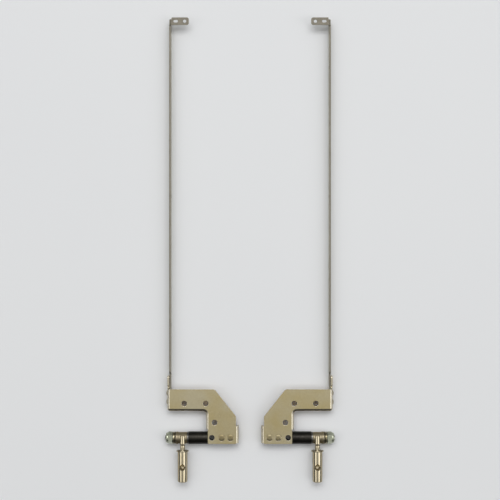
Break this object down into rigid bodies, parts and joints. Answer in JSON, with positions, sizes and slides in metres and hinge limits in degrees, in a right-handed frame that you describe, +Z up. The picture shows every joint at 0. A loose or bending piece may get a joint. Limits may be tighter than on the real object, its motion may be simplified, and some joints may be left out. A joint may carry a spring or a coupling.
{
  "type": "laptop hinge pair",
  "caption": "Mirrored pair of laptop lid hinges: sheet-metal lid brackets with long panel rails, friction shafts and swivelling base posts.",
  "frame": {"origin": "middle of the pair's outline, on the surface that it lies on", "axes": "+X from the left hinge to the right one, along both shafts; +Y from the shafts towards the top of the lid; +Z up, out of the lid's back"},
  "size_m": [0.0936, 0.2558, 0.0089],
  "materials": {
    "gold_nickel": "satin gold-tinted nickel plate on steel",
    "gold_nickel_rivet": "satin gold-tinted nickel plate, spun flush",
    "rail_steel": "satin grey plated steel",
    "rivet_steel": "satin plated steel",
    "black_steel": "black oxide, lightly oiled",
    "grey_washer": "ground grey steel",
    "post_nickel": "bright yellowish nickel plate",
    "dark_washer": "dark oiled steel",
    "olive_springs": "olive passivated spring steel",
    "keyed_washer_steel": "greenish grey plated steel",
    "green_zinc": "greenish zinc plate",
    "nylon": "natural nylon"
  },
  "bodies": {
    "lid_brackets": {"left_lid_plate": "gold_nickel", "left_panel_rail": "rail_steel", "left_rail_rivets": "rivet_steel", "left_hinge_shaft": "black_steel", "left_shaft_rivets": "gold_nickel_rivet", "left_inner_washer": "grey_washer", "left_outer_washer": "dark_washer", "left_disc_springs": "olive_springs", "left_keyed_washer": "keyed_washer_steel", "left_lock_nut": "green_zinc", "left_nut_insert": "nylon", "right_lid_plate": "gold_nickel", "right_panel_rail": "rail_steel", "right_rail_rivets": "rivet_steel", "right_hinge_shaft": "black_steel", "right_shaft_rivets": "gold_nickel_rivet", "right_inner_washer": "grey_washer", "right_outer_washer": "dark_washer", "right_disc_springs": "olive_springs", "right_keyed_washer": "keyed_washer_steel", "right_lock_nut": "green_zinc", "right_nut_insert": "nylon"},
    "left_post": {"left_base_post": "post_nickel"},
    "right_post": {"right_base_post": "post_nickel"}
  },
  "joints": [
    {"name": "left_swivel", "type": "hinge", "parent": "lid_brackets", "child": "left_post", "pos_m": [-0.03792, -0.1038, 0.0035], "axis": [1, 0, 0], "range_deg": [0, 180]},
    {"name": "right_swivel", "type": "hinge", "parent": "lid_brackets", "child": "right_post", "pos_m": [0.03792, -0.1038, 0.0035], "axis": [1, 0, 0], "range_deg": [0, 180]}
  ]
}
